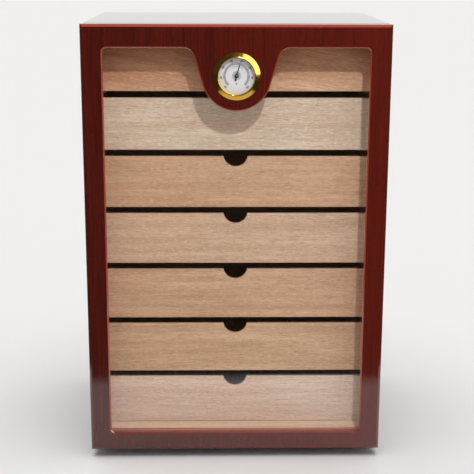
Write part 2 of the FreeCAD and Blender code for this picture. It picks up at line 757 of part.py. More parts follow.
def make_gauge():
    """The hygrometer: bezel, lens, dial and movement in a vented case."""
    crown_radius = bezel_radius - bezel_crown
    slope = bezel_height - bezel_rim
    inner_slope = bezel_height - lens_seat - bezel_lip
    through = neck_depth + bezel_height
    ring = fuse(
        "bezel_ring",
        [
            rod("bezel_edge", before_door(as_size(0)), bezel_rim, bezel_radius, "front"),
            cone("bezel_slope", before_door(bezel_rim), slope, bezel_radius, crown_radius, "front"),
            rod("bezel_neck", before_door(-neck_depth), neck_depth, neck_outer, "front"),
        ],
    )
    hollow = [
        rod("bezel_eye", before_door(-neck_depth), through, bezel_opening, "front"),
        rod("bezel_seat", before_door(-neck_depth), neck_depth + lens_seat, neck_inner, "front"),
        cone(
            "bezel_funnel",
            before_door(lens_seat + bezel_lip),
            inner_slope,
            bezel_opening,
            crown_radius - gauge_wall,
            "front",
        ),
    ]
    keep(cut("bezel", ring, [fuse("bezel_hollow", hollow)]), "hygrometer_bezel")

    lens_radius = neck_inner - gauge_fit
    lens_start = before_door(lens_seat - lens_thickness)
    keep(rod("lens", lens_start, lens_thickness, lens_radius, "front"), "hygrometer_lens")

    outside = rod("gauge_outside", before_door(-gauge_depth), gauge_depth, gauge_radius, "front")
    inside_start = before_door(gauge_wall - gauge_depth)
    inside_radius = gauge_radius - gauge_wall
    holes = [rod("gauge_inside", inside_start, gauge_depth, inside_radius, "front")]
    for i in range(GAUGE_VENTS):
        turn = math.radians(360 / GAUGE_VENTS * i)
        x = vent_circle * math.cos(turn)
        z = gauge_centre + vent_circle * math.sin(turn)
        start = (x, door_front + gauge_depth, z)
        holes.append(rod(f"gauge_vent_{i}", start, 2 * gauge_wall, vent_radius, "front"))
    keep(cut("gauge_case", outside, [fuse("gauge_holes", holes)]), "hygrometer_case")

    bearing_radius = arbor_radius + arbor_clearance
    dial_radius = gauge_radius - gauge_wall - gauge_fit
    plate = rod("dial_plate", before_door(dial_back), dial_thickness, dial_radius, "front")
    eye = rod("dial_eye", before_door(dial_back), dial_thickness, bearing_radius, "front")
    keep(cut("dial", plate, [eye]), "hygrometer_dial")

    housing_start = before_door(dial_back - movement_depth)
    housing = rod("movement_housing", housing_start, movement_depth, movement_radius, "front")
    bearing = rod("movement_bearing", housing_start, movement_depth, bearing_radius, "front")
    keep(cut("movement", housing, [bearing]), "hygrometer_movement")


def make_needle():
    """The needle with its hub and shaft, which turn in the movement's bearing."""
    blade = doc.addObject("Part::Wedge", "needle_blade")
    bind(blade, "Xmin", -needle_root / 2)
    bind(blade, "Xmax", needle_root / 2)
    bind(blade, "X2min", -needle_tip / 2)
    bind(blade, "X2max", needle_tip / 2)
    bind(blade, "Ymin", -needle_tail)
    bind(blade, "Ymax", needle_reach)
    bind(blade, "Zmin", 0)
    bind(blade, "Zmax", needle_thickness)
    bind(blade, "Z2min", 0)
    bind(blade, "Z2max", needle_thickness)
    blade.Placement.Rotation = FreeCAD.Rotation(FreeCAD.Vector(0, 0, -1), 0.1)
    bind(blade, "Placement.Rotation.Angle", needle_angle)
    hub = rod("needle_hub", (as_size(0), as_size(0), as_size(0)), hub_height, hub_radius)
    shaft_depth = needle_lift + dial_thickness + movement_depth
    shaft_start = (as_size(0), as_size(0), -shaft_depth)
    shaft = rod("needle_shaft", shaft_start, shaft_depth, arbor_radius)
    needle = fuse("needle", [blade, hub, shaft])
    needle.Placement.Rotation = FACING["front"]
    place(needle, *before_door(dial_front + needle_lift))
    keep(needle, "hygrometer_needle")


def drawer_base(index):
    """Height of a drawer's underside, counted from the lowest drawer."""
    if index == 0:
        return bottom_of_drawers
    return top_of_drawers - front_height - (DRAWERS - 1 - index) * drawer_pitch


def front_outline(sketch, height):
    """A drawer front with the finger notch in its top edge."""
    half = float(drawer_half)
    top = float(height)
    radius = float(notch_radius)
    centre = top + radius - float(notch_depth)
    reach = math.degrees(math.asin((centre - top) / radius))
    edge = radius * math.cos(math.radians(reach))
    base = line(sketch, (-half, 0), (half, 0))
    right = line(sketch, (half, 0), (half, top))
    top_right = line(sketch, (half, top), (edge, top))
    notch = arc(sketch, (0, centre), radius, 180 + reach, 360 - reach)
    top_left = line(sketch, (-edge, top), (-half, top))
    left = line(sketch, (-half, top), (-half, 0))
    joints = [(base, 2, right, 1), (right, 2, top_right, 1), (top_right, 2, notch, 2)]
    joints += [(notch, 1, top_left, 1), (top_left, 2, left, 1), (left, 2, base, 1)]
    for joint in joints:
        constrain(sketch, "Coincident", *joint)
    for level in (top_right, top_left):
        constrain(sketch, "Horizontal", level)
    for upright in (right, left):
        constrain(sketch, "Vertical", upright)
    constrain(sketch, "Equal", right, left)
    constrain(sketch, "PointOnObject", base, 1, -1)
    constrain(sketch, "PointOnObject", notch, 3, -2)
    constrain(sketch, "Symmetric", base, 1, base, 2, -2)
    measure(sketch, "DistanceX", base, 1, base, 2, 2 * drawer_half)
    measure(sketch, "DistanceY", right, 1, right, 2, height)
    measure(sketch, "Radius", notch, notch_radius)
    measure(sketch, "DistanceY", -1, 1, notch, 3, height + notch_radius - notch_depth)


def make_drawer(number):
    """One drawer: front with notch, two sides, back, and a bottom with air slots."""
    name = f"drawer_{number}"
    low = drawer_base(number - 1)
    height = front_height if number > 1 else front_height - floor_drop
    body = new_body(name + "_board")
    outline = new_sketch(body, name + "_outline", "XZ_Plane")
    front_outline(outline, height)
    pad(body, outline, drawer_front_thickness)
    chamfer(body, lambda edge, whole: same(edge.YMax, whole.YMin), drawer_ease)
    keep(place(body, as_size(0), drawer_front_back, low), name + "_front")

    wall_top = low + drawer_wall_height
    inner_half = drawer_half - drawer_wall
    start = drawer_front_back
    end = drawer_back
    sides = [
        box(name + "_side_left", (-drawer_half, start, low), (-inner_half, end, wall_top)),
        box(name + "_side_right", (inner_half, start, low), (drawer_half, end, wall_top)),
    ]
    keep(group(name + "_side_pair", sides), name + "_sides")
    rear = (-inner_half, end - drawer_wall, low), (inner_half, end, wall_top)
    keep(box(name + "_rear", *rear), name + "_back")

    floor_end = end - drawer_wall
    floor_top = low + drawer_bottom
    board = box(name + "_floor", (-inner_half, start, low), (inner_half, floor_end, floor_top))
    slots = []
    for i in range(AIR_SLOTS):
        middle = (i - (AIR_SLOTS - 1) / 2) * slot_pitch
        slots.append(
            box(
                f"{name}_slot_{i}",
                (middle - slot_width / 2, start + slot_margin, low),
                (middle + slot_width / 2, floor_end - slot_margin, floor_top),
            )
        )
    keep(cut(name + "_floor_cut", board, slots), name + "_bottom")


def make_runners():
    """Strips on the side linings that carry every drawer but the lowest."""
    strips = []
    start = drawer_front_back + runner_setback
    end = room_back - runner_rear_gap
    for index in range(1, DRAWERS):
        high = drawer_base(index) - slide_clearance
        low = high - runner_height
        inner = room_half - runner_width
        strips.append(box(f"runner_left_{index}", (-room_half, start, low), (-inner, end, high)))
        strips.append(box(f"runner_right_{index}", (inner, start, low), (room_half, end, high)))
    keep(group("runner_group", strips), "drawer_runners")


def make_humidifier():
    """The humidifier that lies in the top drawer: tray, foam block and slotted cover."""
    half = tray_length / 2
    back = drawer_back - drawer_wall - tray_inset
    front = back - tray_depth
    low = drawer_base(DRAWERS - 1) + drawer_bottom
    rim = low + tray_height
    floor = low + tray_wall
    block = box("tray_block", (-half, front, low), (half, back, rim))
    inner_low = (-half + tray_wall, front + tray_wall, floor)
    inner_high = (half - tray_wall, back - tray_wall, rim)
    keep(cut("tray", block, [box("tray_room", inner_low, inner_high)]), "humidifier_tray")
    spare = foam_clearance
    foam_low = (inner_low[0] + spare, inner_low[1] + spare, floor)
    foam_high = (inner_high[0] - spare, inner_high[1] - spare, rim - spare)
    keep(box("foam", foam_low, foam_high), "humidifier_foam")
    lid = box("cover_block", (-half, front, rim), (half, back, rim + tray_cover))
    slots = []
    for i in range(GRILLE_SLOTS):
        middle = (i - (GRILLE_SLOTS - 1) / 2) * grille_pitch
        slots.append(
            box(
                f"cover_slot_{i}",
                (middle - grille_slot / 2, front + grille_margin, rim),
                (middle + grille_slot / 2, back - grille_margin, rim + tray_cover),
            )
        )
    keep(cut("cover", lid, slots), "humidifier_cover")


doc.recompute()
make_case()
make_lining()
make_feet()
make_seal()
make_catches()
make_hinges()
make_door_frame()
make_door_glass()
make_gauge()
make_needle()
for drawer_number in range(1, DRAWERS + 1):
    make_drawer(drawer_number)
make_runners()
make_humidifier()
doc.recompute()

for thing in doc.Objects:
    if "Invalid" in thing.State or "Error" in thing.State:
        raise RuntimeError(f"{thing.Label} failed: {thing.State}")
for part in parts:
    if part.Shape.isNull() or not part.Shape.isValid() or not part.Shape.Solids:
        raise RuntimeError(f"{part.Label} has no valid shape")

os.makedirs("parts", exist_ok=True)
for part in parts:
    part.Shape.exportStep(f"parts/{part.Label}.step")
    print(part.Label, len(part.Shape.Solids), round(part.Shape.Volume))
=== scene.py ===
import math

import bmesh
import bpy
from mathutils import Matrix, Vector


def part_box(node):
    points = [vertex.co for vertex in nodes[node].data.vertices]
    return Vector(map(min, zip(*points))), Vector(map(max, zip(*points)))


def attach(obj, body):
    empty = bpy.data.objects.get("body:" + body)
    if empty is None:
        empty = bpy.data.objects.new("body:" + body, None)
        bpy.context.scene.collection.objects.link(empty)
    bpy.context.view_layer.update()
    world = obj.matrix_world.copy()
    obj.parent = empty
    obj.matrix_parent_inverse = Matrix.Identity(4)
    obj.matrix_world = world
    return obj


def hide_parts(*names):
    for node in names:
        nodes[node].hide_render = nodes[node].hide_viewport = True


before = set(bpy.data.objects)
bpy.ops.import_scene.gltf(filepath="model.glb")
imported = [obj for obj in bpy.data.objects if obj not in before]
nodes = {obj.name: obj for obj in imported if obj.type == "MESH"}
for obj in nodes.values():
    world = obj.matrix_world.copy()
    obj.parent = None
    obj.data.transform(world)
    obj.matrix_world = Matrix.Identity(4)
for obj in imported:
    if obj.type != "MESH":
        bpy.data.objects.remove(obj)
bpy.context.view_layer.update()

scene = bpy.context.scene
scene.view_settings.view_transform = "Standard"

# The camera: a long lens just above the humidor's top and 1.28 m in front of it, tilted
# down, and a little to the left of the middle.
lens = bpy.data.cameras.new("camera")
lens.sensor_width = 36
lens.lens = 84.9
lens.clip_end = 200
camera = bpy.data.objects.new("camera", lens)
scene.collection.objects.link(camera)
camera_place = (-0.02453, -1.42361, 0.60383)
turned_right, tilted_down, rolled = 0.02, 0.24545, 0.0037
camera.matrix_world = (
    Matrix.Translation(camera_place)
    @ Matrix.Rotation(-turned_right, 4, "Z")
    @ Matrix.Rotation(math.pi / 2 - tilted_down, 4, "X")
    @ Matrix.Rotation(rolled, 4, "Z")
)
scene.camera = camera


def colour(hex_code):
    """The linear colour of an sRGB hex value."""
    parts = [int(hex_code[i : i + 2], 16) / 255 for i in (1, 3, 5)]
    return [c / 12.92 if c <= 0.04045 else ((c + 0.055) / 1.055) ** 2.4 for c in parts] + [1]


def add(tree, kind, inputs={}, **settings):
    """Adds a node, sets it, and gives its inputs their values or links."""
    node = tree.nodes.new("ShaderNode" + kind)
    for name, value in settings.items():
        setattr(node, name, value)
    for name, value in inputs.items():
        socket = next(s for s in node.inputs if s.enabled and name in (s.identifier, s.name))
        if isinstance(value, bpy.types.Node):
            value = next(s for s in value.outputs if s.enabled)
        if isinstance(value, bpy.types.NodeSocket):
            tree.links.new(value, socket)
        else:
            socket.default_value = value
    return node


def finish_of(name):
    """A new material with an empty node tree."""
    material = bpy.data.materials.new(name)
    material.use_nodes = True
    material.node_tree.nodes.clear()
    return material


# The table: matt white acrylic that runs on as a plain pale floor. What the lacquer and the
# glass mirror of it ends 250 mm before the door, where the room behind the camera is dark.
table_reach = (0.48, 0.55)
table_middle = (0.0, 0.16)
floor_half_width = 60
acrylic = finish_of("white_acrylic")
tree = acrylic.node_tree
place = add(tree, "TexCoord")
from_middle = add(
    tree,
    "VectorMath",
    {"Vector": place.outputs["Object"], "Vector_001": (*table_middle, 0)},
    operation="SUBTRACT",
)
apart = add(tree, "VectorMath", {"Vector": from_middle}, operation="ABSOLUTE")
past = add(
    tree, "VectorMath", {"Vector": apart, "Vector_001": (*table_reach, 0)}, operation="SUBTRACT"
)
split = add(tree, "SeparateXYZ", {"Vector": past})
furthest = add(
    tree,
    "Math",
    {"Value": split.outputs["X"], "Value_001": split.outputs["Y"]},
    operation="MAXIMUM",
)
beyond = add(tree, "MapRange", {"Value": furthest, "From Min": -0.01, "From Max": 0.03})
rays = add(tree, "LightPath")
dark_share = add(
    tree,
    "Math",
    {"Value": beyond, "Value_001": rays.outputs["Is Glossy Ray"]},
    operation="MULTIPLY",
)
pale = add(tree, "BsdfPrincipled", {"Base Color": colour("#F2F1F0"), "Roughness": 0.6})
dark = add(tree, "BsdfDiffuse", {"Color": colour("#38332E")})
mixed = add(tree, "MixShader", {"Fac": dark_share, "Shader": pale, "Shader_001": dark})
add(tree, "OutputMaterial", {"Surface": mixed})
shape = bmesh.new()
bmesh.ops.create_grid(shape, x_segments=1, y_segments=1, size=floor_half_width)
mesh = bpy.data.meshes.new("table")
shape.to_mesh(mesh)
shape.free()
mesh.materials.append(acrylic)
table = bpy.data.objects.new("table", mesh)
scene.collection.objects.link(table)

# The studio: even light from pale walls, a little more of it from behind. What shines also
# mirrors a white sweep behind the humidor, a grey wall and a soft box at the right, and a
# dim room above and behind the camera.
toward_soft_box = (0.78, -0.5, 0.38)
soft_box_light = [3.6, 3.55, 3.5, 1]
grey_wall = [0.3, 0.3, 0.27, 1]
world = bpy.data.worlds.new("studio")
scene.world = world
world.use_nodes = True
tree = world.node_tree
tree.nodes.clear()
place = add(tree, "TexCoord")
split = add(tree, "SeparateXYZ", {"Vector": place.outputs["Generated"]})
sweep = add(
    tree,
    "MapRange",
    {"Value": split.outputs["Y"], "From Min": 0.05, "From Max": 0.3},
    interpolation_type="SMOOTHSTEP",
)
low = add(
    tree,
    "MapRange",
    {"Value": split.outputs["Z"], "From Min": 0.75, "From Max": 0.35},
    interpolation_type="SMOOTHSTEP",
)
sweep = add(tree, "Math", {"Value": sweep, "Value_001": low}, operation="MULTIPLY")
walls = add(
    tree,
    "MapRange",
    {"Value": split.outputs["X"], "From Min": 0.4, "From Max": 0.8},
    interpolation_type="SMOOTHSTEP",
)
walls = add(tree, "Math", {"Value": walls, "Value_001": low}, operation="MULTIPLY")
toward_box = add(
    tree,
    "VectorMath",
    {"Vector": place.outputs["Generated"], "Vector_001": toward_soft_box},
    operation="DOT_PRODUCT",
)
soft_box = add(
    tree, "MapRange", {"Value": toward_box.outputs["Value"], "From Min": 0.79, "From Max": 0.84}
)
room = add(
    tree,
    "Mix",
    {"Factor": walls, "A_Color": colour("#4A433B"), "B_Color": grey_wall},
    data_type="RGBA",
)
room = add(
    tree,
    "Mix",
    {"Factor": sweep, "A_Color": room, "B_Color": colour("#F0EFEE")},
    data_type="RGBA",
)
room = add(
    tree,
    "Mix",
    {"Factor": soft_box, "A_Color": room, "B_Color": soft_box_light},
    data_type="RGBA",
)
fill = add(
    tree,
    "MapRange",
    {
        "Value": split.outputs["Y"],
        "From Min": 0.0,
        "From Max": 0.5,
        "To Min": 0.34,
        "To Max": 0.5,
    },
)
rays = add(tree, "LightPath")
seen = add(
    tree,
    "Math",
    {"Value": rays.outputs["Is Camera Ray"], "Value_001": rays.outputs["Is Transmission Ray"]},
    operation="MAXIMUM",
)
light = add(
    tree,
    "Mix",
    {"Factor": rays.outputs["Is Glossy Ray"], "A_Color": fill, "B_Color": room},
    data_type="RGBA",
)
light = add(
    tree,
    "Mix",
    {"Factor": seen, "A_Color": light, "B_Color": colour("#F3F2F1")},
    data_type="RGBA",
)
background = add(tree, "Background", {"Color": light})
add(tree, "OutputWorld", {"Surface": background})

# The key lamp stands to the right of the camera and high above it, and its crisp shadow of
# the door frame falls on the drawers. A broad soft light fills in from the front. Neither
# reaches the table, which has the soft light from the ceiling alone.
unlit = bpy.data.collections.new("lit_by_the_ceiling_alone")
unlit.objects.link(table)
key = bpy.data.lights.new("key", "POINT")
key.energy = 64
key.shadow_soft_size = 0.028
front = bpy.data.lights.new("front", "SUN")
front.energy = 0.7
front.angle = math.radians(100)
ceiling = bpy.data.lights.new("ceiling", "SUN")
ceiling.energy = 2.0
ceiling.angle = math.radians(60)
for light, source, shines_on_table in (
    (key, (0.26, -1.44, 1.5), False),
    (front, (0.1, -1.0, 0.25), False),
    (ceiling, (0, -0.08, 1), True),
):
    lamp = bpy.data.objects.new(light.name, light)
    lamp.location = source
    lamp.rotation_mode = "QUATERNION"
    lamp.rotation_quaternion = Vector(source).to_track_quat("Z", "Y")
    lamp.visible_glossy = light is key
    scene.collection.objects.link(lamp)
    if not shines_on_table:
        lamp.light_linking.receiver_collection = unlit
unlit.collection_objects[0].light_linking.link_state = "EXCLUDE"


def eased(node, radius, picked=None):
    """A copy of a CAD node's shape, with its sharp edges rounded as sanding leaves them."""
    sharp_angle = math.radians(25)
    shape = bmesh.new()
    shape.from_mesh(nodes[node].data)
    bmesh.ops.remove_doubles(shape, verts=shape.verts, dist=1e-6)
    bmesh.ops.dissolve_limit(
        shape, angle_limit=math.radians(1), verts=shape.verts, edges=shape.edges
    )
    sharp = [
        edge
        for edge in shape.edges
        if edge.is_manifold
        and edge.calc_face_angle() > sharp_angle
        and (picked is None or picked(edge))
    ]
    bmesh.ops.bevel(
        shape,
        geom=sharp,
        offset=radius,
        offset_type="OFFSET",
        segments=3,
        profile=0.5,
        affect="EDGES",
        clamp_overlap=True,
        material=-1,
    )
    return shape


def fit(name, shape, finishes, slot, body, *replaced):
    """Makes a finished shape a piece of the humidor, in place of the CAD nodes it stands for."""
    mesh = bpy.data.meshes.new(name)
    shape.to_mesh(mesh)
    shape.free()
    for finish in finishes if isinstance(finishes, list) else [finishes]:
        mesh.materials.append(finish)
    mesh.shade_smooth()
    mesh.set_sharp_from_angle(angle=math.radians(40))
    piece = bpy.data.objects.new(name, mesh)
    scene.collection.objects.link(piece)
    even = piece.modifiers.new("flat faces stay flat", "WEIGHTED_NORMAL")
    even.keep_sharp = True
    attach(piece, body)
    if replaced:
        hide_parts(*replaced)
    return piece


def streaks(tree, along, width, length, detail=3.0, wander=0.0, start=(0, 0, 0), slant=0.0):
    """Noise drawn out along one axis, with streaks of that width and length in millimetres.

    A wander in millimetres lets the streaks drift from side to side, as grown wood does,
    and a slant in degrees turns them in the plane of an upright board.
    """
    place = add(tree, "TexCoord").outputs["Object"]
    if wander:
        turns_per_metre = [6.0] * 3
        turns_per_metre[along] = 3.0
        slow = add(
            tree,
            "Mapping",
            {"Vector": place, "Scale": turns_per_metre, "Location": start},
        )
        drift = add(tree, "TexNoise", {"Vector": slow, "Scale": 1.0, "Detail": 1.0})
        drift = add(
            tree,
            "VectorMath",
            {"Vector": drift.outputs["Color"], "Vector_001": (0.5, 0.5, 0.5)},
            operation="SUBTRACT",
        )
        drift = add(
            tree, "VectorMath", {"Vector": drift, "Scale": wander / 1000}, operation="SCALE"
        )
        place = add(
            tree, "VectorMath", {"Vector": place, "Vector_001": drift}, operation="ADD"
        )
    scale = [width / 1000] * 3
    scale[along] = length / 1000
    drawn = add(
        tree,
        "Mapping",
        {
            "Vector": place,
            "Location": start,
            "Rotation": (0, math.radians(slant), 0),
            "Scale": scale,
        },
        vector_type="TEXTURE",
    )
    return add(
        tree, "TexNoise", {"Vector": drawn, "Scale": 1.0, "Detail": detail, "Roughness": 0.6}
    )


# The case: boards under a red mahogany veneer, stained, then sprayed with many coats of
# polyester lacquer and polished to a mirror. The grain shows deep under a clear hard skin.
def veneer(name, along, start=(0, 0, 0), paler_right=0.0):
    material = finish_of(name)
    tree = material.node_tree
    # Ribbons of 14 mm, threads of 2 mm and pores of 0.8 mm, drawn wider than the real 0.2 mm
    ribbons = streaks(tree, along, 14, 420, 4.0, 30, start)
    threads = streaks(tree, along, 2.2, 90, 3.0, 12, start)
    pores = streaks(tree, along, 0.8, 12, 2.0, 8, start)
    ribbon = add(tree, "MapRange", {"Value": ribbons, "From Min": 0.34, "From Max": 0.66})
    thread = add(
        tree, "MapRange", {"Value": threads, "From Min": 0.35, "From Max": 0.65, "To Max": 0.8}
    )
    pore = add(
        tree, "MapRange", {"Value": pores, "From Min": 0.58, "From Max": 0.7, "To Max": 0.8}
    )
    wood = add(
        tree,
        "Mix",
        {"Factor": ribbon, "A_Color": colour("#310704"), "B_Color": colour("#430E06")},
        data_type="RGBA",
    )
    wood = add(
        tree,
        "Mix",
        {"Factor": thread, "A_Color": wood, "B_Color": colour("#4C1107")},
        data_type="RGBA",
    )
    wood = add(
        tree,
        "Mix",
        {"Factor": pore, "A_Color": wood, "B_Color": colour("#210604")},
        data_type="RGBA",
    )
    if paler_right:
        # The door's colour runs a little paler towards its right side
        split = add(tree, "SeparateXYZ", {"Vector": add(tree, "TexCoord").outputs["Object"]})
        side = add(
            tree,
            "MapRange",
            {
                "Value": split.outputs["X"],
                "From Min": -0.14,
                "From Max": 0.16,
                "To Max": paler_right,
            },
        )
        wood = add(
            tree,
            "Mix",
            {"Factor": side, "A_Color": wood, "B_Color": colour("#6A1B0B")},
            data_type="RGBA",
        )
    # Polishing leaves the lacquer very slightly wavy
    waves = streaks(tree, along, 9, 14, 1.0)
    skin = add(tree, "Bump", {"Height": waves, "Strength": 0.02, "Distance": 0.001})
    gloss = add(
        tree,
        "BsdfPrincipled",
        {
            "Base Color": wood,
            "Roughness": 0.22,
            "Specular IOR Level": 0.15,
            "Coat Weight": 1.0,
            "Coat Roughness": 0.05,
            "Coat IOR": 1.6,
            "Coat Normal": skin,
        },
    )
    add(tree, "OutputMaterial", {"Surface": gloss})
    return material


veneer_upright = veneer("mahogany_veneer_upright", 2)
veneer_across = veneer("mahogany_veneer_across", 0, (3, 7, 5))
corner_round = 0.0008


def on_outside(edge):
    """True for an edge between two outer faces of the case, not one in a joint."""
    outer_faces = ((0, 0.178), (0, -0.178), (1, 0.14), (1, -0.12), (2, 0.53), (2, 0.01))
    within = 2 * corner_round
    near = 0
    for axis, value in outer_faces:
        near += all(abs(v.co[axis] - value) < within for v in edge.verts)
    return near >= 2


for side, start in (("left", (0, 0, 0)), ("right", (9, 4, 2))):
    fit(
        f"{side}_side_panel",
        eased(f"case_side_{side}", corner_round, on_outside),
        veneer(f"mahogany_veneer_{side}", 2, start),
        "mahogany",
        "cabinet",
        f"case_side_{side}",
    )
for panel in ("top", "base"):
    fit(
        f"{panel}_panel",
        eased(f"case_{panel}", corner_round, on_outside),
        veneer_across,
        "mahogany",
        "cabinet",
        f"case_{panel}",
    )
fit(
    "back_panel",
    eased("case_back", 0.0004),
    veneer_upright,
    "mahogany",
    "cabinet",
    "case_back",
)


# The feet: four turned discs of moulded rubber under the base, with a rounded lower rim and
# a hollow in the middle. Moulding leaves the rubber matt, with a very fine grain.
def rubber(name, deep, worn):
    material = finish_of(name)
    tree = material.node_tree
    # The mould's grain is near 0.05 mm, drawn here at 0.5 mm so that it shows
    grain = streaks(tree, 2, 0.5, 0.5, 2.0)
    scuffs = streaks(tree, 2, 7, 5, 4.0)
    scuff = add(tree, "MapRange", {"Value": scuffs, "From Min": 0.5, "From Max": 0.8})
    skin = add(
        tree,
        "Mix",
        {"Factor": scuff, "A_Color": colour(deep), "B_Color": colour(worn)},
        data_type="RGBA",
    )
    matt = add(tree, "MapRange", {"Value": scuff, "To Min": 0.6, "To Max": 0.85})
    bumps = add(tree, "Bump", {"Height": grain, "Strength": 0.3, "Distance": 0.0002})
    surface = add(
        tree,
        "BsdfPrincipled",
        {
            "Base Color": skin,
            "Roughness": matt,
            "Specular IOR Level": 0.4,
            "IOR": 1.52,
            "Normal": bumps,
        },
    )
    add(tree, "OutputMaterial", {"Surface": surface})
    return material


def turned(section, centre, toward, steps=64):
    """A lathed shape. Its section is (radius, height) in millimetres, along its axis."""
    shape = bmesh.new()
    centre = Vector(centre)
    toward = Vector(toward)
    out = toward.orthogonal().normalized()
    corners = [
        shape.verts.new(centre + (out * radius + toward * height) / 1000)
        for radius, height in section
    ]
    edges = [shape.edges.new(pair) for pair in zip(corners, corners[1:])]
    if section[0][0] > 0:
        edges.append(shape.edges.new((corners[-1], corners[0])))
    bmesh.ops.spin(
        shape,
        geom=corners + edges,
        cent=centre,
        axis=toward,
        angle=2 * math.pi,
        steps=steps,
        use_merge=True,
    )
    bmesh.ops.remove_doubles(shape, verts=shape.verts, dist=2e-6)
    bmesh.ops.recalc_face_normals(shape, faces=shape.faces)
    return shape


def together(shapes):
    """Several shapes as one."""
    whole = bmesh.new()
    for shape in shapes:
        mesh = bpy.data.meshes.new("part")
        shape.to_mesh(mesh)
        shape.free()
        whole.from_mesh(mesh)
        bpy.data.meshes.remove(mesh)
    return whole


foot_section = (
    (0.0, 0.0), (12.6, 0.0), (13.0, 0.4), (13.0, 8.3), (12.8, 9.1), (12.3, 9.7), (11.5, 10.0),
    (8.4, 10.0), (8.0, 9.8), (7.7, 9.3), (7.4, 7.2), (7.0, 7.0), (2.6, 7.0), (2.2, 7.2),
    (1.9, 7.9), (1.5, 8.1), (0.0, 8.1),
)
foot_across, foot_rows, foot_top = 0.146, (-0.088, 0.108), 0.01
feet = [
    turned(foot_section, (x, y, foot_top), (0, 0, -1), 48)
    for x in (-foot_across, foot_across)
    for y in foot_rows
]
fit(
    "rubber_feet",
    together(feet),
    rubber("moulded_foot_rubber", "#161514", "#2C2A28"),
    "foot_rubber",
    "cabinet",
    "feet",
)

# The door's seal: a soft rubber strip set round the front of the case, which the shut door
# presses on. It is extruded, so its skin is smoother than the feet.
fit(
    "door_seal_strip",
    eased("door_seal", 0.0004),
    rubber("extruded_seal_rubber", "#1B1614", "#2A2422"),
    "seal_rubber",
    "cabinet",
    "door_seal",
)

# The door frame: one board in the same veneer, upright all over, with the window and its
# tongue routed out. The routed edges and the bevels along the top and the bottom have no
# veneer: they are stained red and lacquered, and look lighter. The beads are paler still.
def stained(name, deep, pale, gathered):
    """Bare wood stained and lacquered. The stain may have gathered along the lowest edges."""
    gathered_tint = [0.55, 0.25, 0.17, 1]
    material = finish_of(name)
    tree = material.node_tree
    fibres = streaks(tree, 2, 1.5, 5, 2.0)
    stain = add(
        tree,
        "Mix",
        {"Factor": fibres, "A_Color": colour(deep), "B_Color": colour(pale)},
        data_type="RGBA",
    )
    split = add(tree, "SeparateXYZ", {"Vector": add(tree, "TexCoord").outputs["Object"]})
    low = add(
        tree,
        "MapRange",
        {
            "Value": split.outputs["Z"],
            "From Min": 0.06,
            "From Max": 0.034,
            "To Max": gathered,
        },
    )
    stain = add(
        tree,
        "Mix",
        {"Factor": low, "A_Color": stain, "B_Color": gathered_tint},
        data_type="RGBA",
        blend_type="MULTIPLY",
    )
    gloss = add(
        tree,
        "BsdfPrincipled",
        {
            "Base Color": stain,
            "Roughness": 0.3,
            "Coat Weight": 1.0,
            "Coat Roughness": 0.12,
            "Coat IOR": 1.55,
        },
    )
    add(tree, "OutputMaterial", {"Surface": gloss})
    return material


stained_edge = stained("stained_edge_under_lacquer", "#7E2A1B", "#983C28", 1.0)
stained_beads = stained("stained_beads_under_lacquer", "#A26C55", "#B6806A", 0.0)
door_veneer = veneer("mahogany_veneer_door", 2, (2, 5, 1), 0.3)
window_half_width, window_bottom, window_top, window_back = 0.1541, 0.0324, 0.5044, -0.1332
door_middle, bevel_reach, bevel_back = 0.27, 0.2575, -0.1365
facing_out = 0.98
shape = eased("door_frame", 0.0003)
for face in shape.faces:
    middle = face.calc_center_median()
    across_window = abs(middle.x) < window_half_width and window_bottom < middle.z < window_top
    in_window = across_window and middle.y < window_back
    outer_bevel = middle.y < bevel_back and abs(middle.z - door_middle) > bevel_reach
    if (in_window or outer_bevel) and abs(face.normal.y) < facing_out:
        face.material_index = 1
fit("door_board", shape, [door_veneer, stained_edge], "mahogany", "door", "door_frame")
fit(
    "glazing_beads",
    eased("glass_beads", 0.0006),
    stained_beads,
    "mahogany",
    "door",
    "glass_beads",
)

# The door's pane: clear float glass 3 mm thick. It mirrors about 4% at each face seen
# square on, and more at a slant.
float_glass = finish_of("float_glass")
tree = float_glass.node_tree
square_on = 0.04
slant = add(tree, "LayerWeight", {"Blend": 0.5})
slant = add(
    tree,
    "Math",
    {"Value": slant.outputs["Facing"], "Value_001": 5.0},
    operation="POWER",
)
mirror = add(
    tree,
    "Math",
    {"Value": slant, "Value_001": 1 - square_on, "Value_002": square_on},
    operation="MULTIPLY_ADD",
)
wiped = streaks(tree, 0, 18, 60, 3.0)
smear = add(
    tree,
    "MapRange",
    {"Value": wiped, "From Min": 0.4, "From Max": 0.8, "To Min": 0.01, "To Max": 0.06},
)
through = add(tree, "BsdfTransparent", {"Color": (0.975, 0.985, 0.98, 1)})
shine = add(tree, "BsdfGlossy", {"Roughness": smear, "Color": (1, 1, 1, 1)})
pane = add(tree, "MixShader", {"Fac": mirror, "Shader": through, "Shader_001": shine})
add(tree, "OutputMaterial", {"Surface": pane})
nodes["door_glass"].material_slots[0].material = float_glass
nodes["hygrometer_lens"].material_slots[0].material = float_glass


